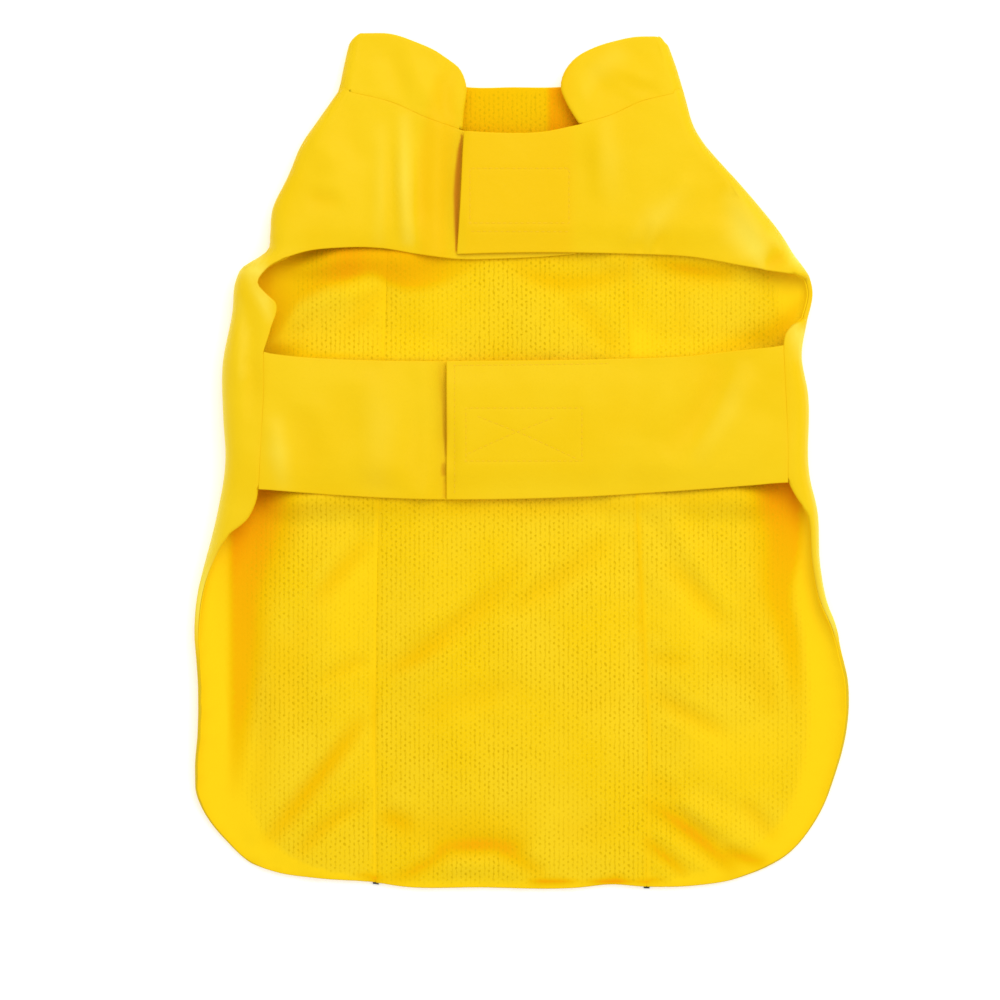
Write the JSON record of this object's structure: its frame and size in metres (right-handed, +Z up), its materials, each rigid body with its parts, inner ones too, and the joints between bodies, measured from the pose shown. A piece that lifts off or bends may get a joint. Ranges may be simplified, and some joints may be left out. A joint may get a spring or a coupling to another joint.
{
  "type": "pet raincoat",
  "caption": "Sleeveless raincoat for a small dog, laid flat belly side up, with a stand collar, mesh lining, closing chest flaps and a closing belly strap.",
  "frame": {"origin": "the middle of the coat's footprint, on the surface it lies on", "axes": "+Z up from the surface, out of the belly side; +Y along the back towards the collar; +X towards the side whose chest flap and strap lie on top"},
  "size_m": [0.3086, 0.4024, 0.0182],
  "materials": {
    "coated_shell": "smooth coated woven rain cloth with a soft low sheen",
    "mesh_lining": "matt knitted mesh with small staggered holes",
    "closure_tape": "matt hook-and-loop pile",
    "piping": "dark smooth folded tape"
  },
  "bodies": {
    "root": {"back_centre": "coated_shell", "side_left": "coated_shell", "side_right": "coated_shell", "collar_outer": "coated_shell", "belly_strap_left": "coated_shell", "belly_strap_right": "coated_shell", "lining_centre": "mesh_lining", "lining_left": "mesh_lining", "lining_right": "mesh_lining", "collar_lining": "mesh_lining", "chest_loop": "closure_tape", "chest_hook": "closure_tape", "belly_loop": "closure_tape", "belly_hook": "closure_tape", "piping_left": "piping", "piping_right": "piping"}
  },
  "joints": []
}
